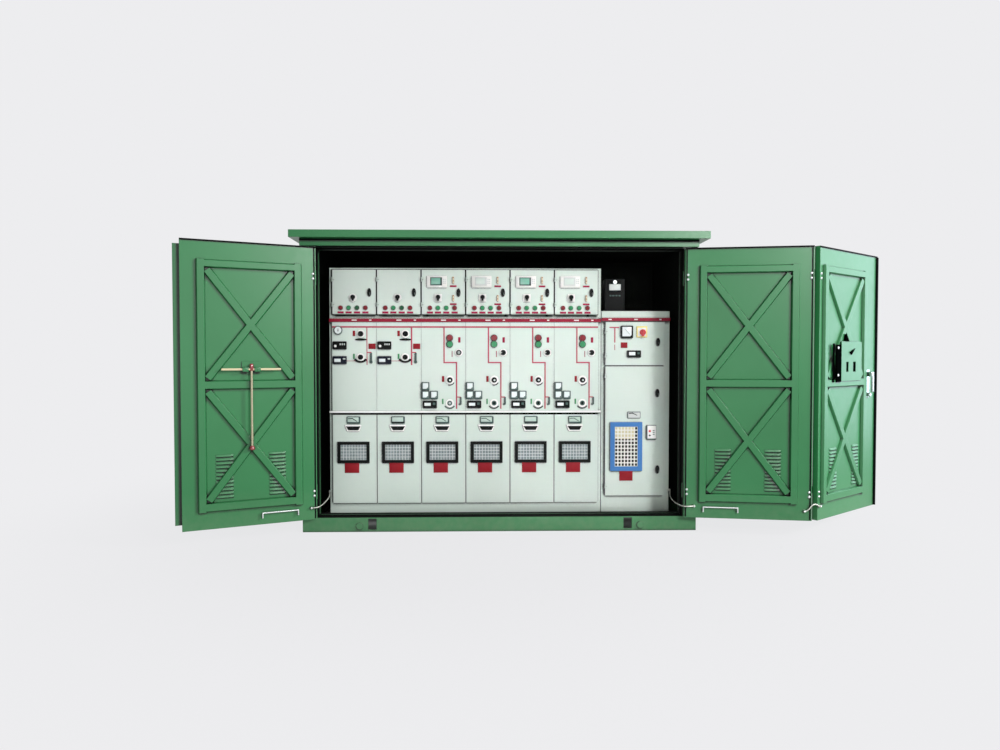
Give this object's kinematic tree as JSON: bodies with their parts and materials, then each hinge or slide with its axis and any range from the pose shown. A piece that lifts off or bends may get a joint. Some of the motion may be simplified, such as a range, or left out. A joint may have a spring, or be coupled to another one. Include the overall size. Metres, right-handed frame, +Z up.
{
  "type": "outdoor ring main unit",
  "caption": "Steel kiosk with a pitched lid, swing and folding door leaves, a switchgear line-up and a side cabinet inside.",
  "frame": {"origin": "centre of the kiosk's footprint, on the ground", "axes": "+X to the right seen from the front, -Y out of the doors, +Z up"},
  "size_m": [4.9156, 1.6888, 2.14],
  "materials": {
    "kiosk_paint": "mid-green baked paint, semi-matt",
    "gear_paint": "pale grey-green powder coat",
    "white_trim": "white paint",
    "red_paint": "crimson paint",
    "black_plastic": "moulded black plastic",
    "black_steel": "black paint",
    "blue_paint": "blue paint",
    "cream_paint": "cream paint",
    "zinc_steel": "zinc-plated rod",
    "chrome_plate": "polished chrome",
    "tinned_braid": "tinned copper braid"
  },
  "bodies": {
    "root": {"base_rails": "kiosk_paint", "base_bearers": "kiosk_paint", "door_stop": "kiosk_paint", "post_left": "kiosk_paint", "post_right": "kiosk_paint", "header": "kiosk_paint", "wall_left": "kiosk_paint", "wall_right": "kiosk_paint", "wall_rear": "kiosk_paint", "roof": "kiosk_paint", "hinges_left": "kiosk_paint", "leaf_middle": "kiosk_paint", "braces_middle": "kiosk_paint", "stay_middle": "zinc_steel", "leaf_right": "kiosk_paint", "braces_right": "kiosk_paint", "lock_plate": "kiosk_paint", "lock_rods": "black_steel", "lock_handle": "chrome_plate", "hinges_folding": "kiosk_paint", "gear_body": "gear_paint", "lv_box": "gear_paint", "red_strips": "red_paint", "control_panels": "gear_paint", "waist_trim": "white_trim", "switch_controls": "black_plastic", "breaker_controls": "black_plastic", "cable_doors": "gear_paint", "cable_windows": "black_plastic", "side_housing": "gear_paint", "monitor_unit": "black_plastic", "bond_left": "tinned_braid", "bond_right": "tinned_braid", "bond_fold": "tinned_braid"},
    "left_leaf": {"leaf_left": "kiosk_paint", "braces_left": "kiosk_paint", "cover_strip": "kiosk_paint", "stay_left": "zinc_steel", "lever_clip": "kiosk_paint", "lever": "cream_paint"},
    "lv_door_body_1": {"lv_door_1": "gear_paint", "lv_panel_1": "black_plastic"},
    "lv_door_body_2": {"lv_door_2": "gear_paint", "lv_panel_2": "black_plastic"},
    "lv_door_body_3": {"lv_door_3": "gear_paint", "lv_panel_3": "black_plastic"},
    "lv_door_body_4": {"lv_door_4": "gear_paint", "lv_panel_4": "black_plastic"},
    "lv_door_body_5": {"lv_door_5": "gear_paint", "lv_panel_5": "black_plastic"},
    "lv_door_body_6": {"lv_door_6": "gear_paint", "lv_panel_6": "black_plastic"},
    "side_upper": {"side_upper_door": "gear_paint", "side_upper_controls": "black_plastic"},
    "side_lower": {"side_lower_door": "gear_paint", "side_window": "blue_paint", "side_lower_fittings": "black_plastic"}
  },
  "joints": [
    {"name": "left_leaf_swing", "type": "hinge", "parent": "root", "child": "left_leaf", "pos_m": [-1.279, -0.61, 1], "axis": [0, 0, -1], "range_deg": [-156, 9], "deforming": ["bond_left"]},
    {"name": "lv_door_1_swing", "type": "hinge", "parent": "root", "child": "lv_door_body_1", "pos_m": [-1.219, -0.335, 1.69], "axis": [0, 0, -1], "range_deg": [0, 90]},
    {"name": "lv_door_2_swing", "type": "hinge", "parent": "root", "child": "lv_door_body_2", "pos_m": [-0.894, -0.335, 1.69], "axis": [0, 0, -1], "range_deg": [0, 90]},
    {"name": "lv_door_3_swing", "type": "hinge", "parent": "root", "child": "lv_door_body_3", "pos_m": [-0.569, -0.335, 1.69], "axis": [0, 0, -1], "range_deg": [0, 90]},
    {"name": "lv_door_4_swing", "type": "hinge", "parent": "root", "child": "lv_door_body_4", "pos_m": [-0.244, -0.335, 1.69], "axis": [0, 0, -1], "range_deg": [0, 90]},
    {"name": "lv_door_5_swing", "type": "hinge", "parent": "root", "child": "lv_door_body_5", "pos_m": [0.081, -0.335, 1.69], "axis": [0, 0, -1], "range_deg": [0, 90]},
    {"name": "lv_door_6_swing", "type": "hinge", "parent": "root", "child": "lv_door_body_6", "pos_m": [0.406, -0.335, 1.69], "axis": [0, 0, -1], "range_deg": [0, 90]},
    {"name": "side_upper_door_swing", "type": "hinge", "parent": "root", "child": "side_upper", "pos_m": [0.78, -0.335, 1.3], "axis": [0, 0, -1], "range_deg": [0, 90]},
    {"name": "side_lower_door_swing", "type": "hinge", "parent": "root", "child": "side_lower", "pos_m": [0.78, -0.335, 0.67], "axis": [0, 0, -1], "range_deg": [0, 90]}
  ]
}
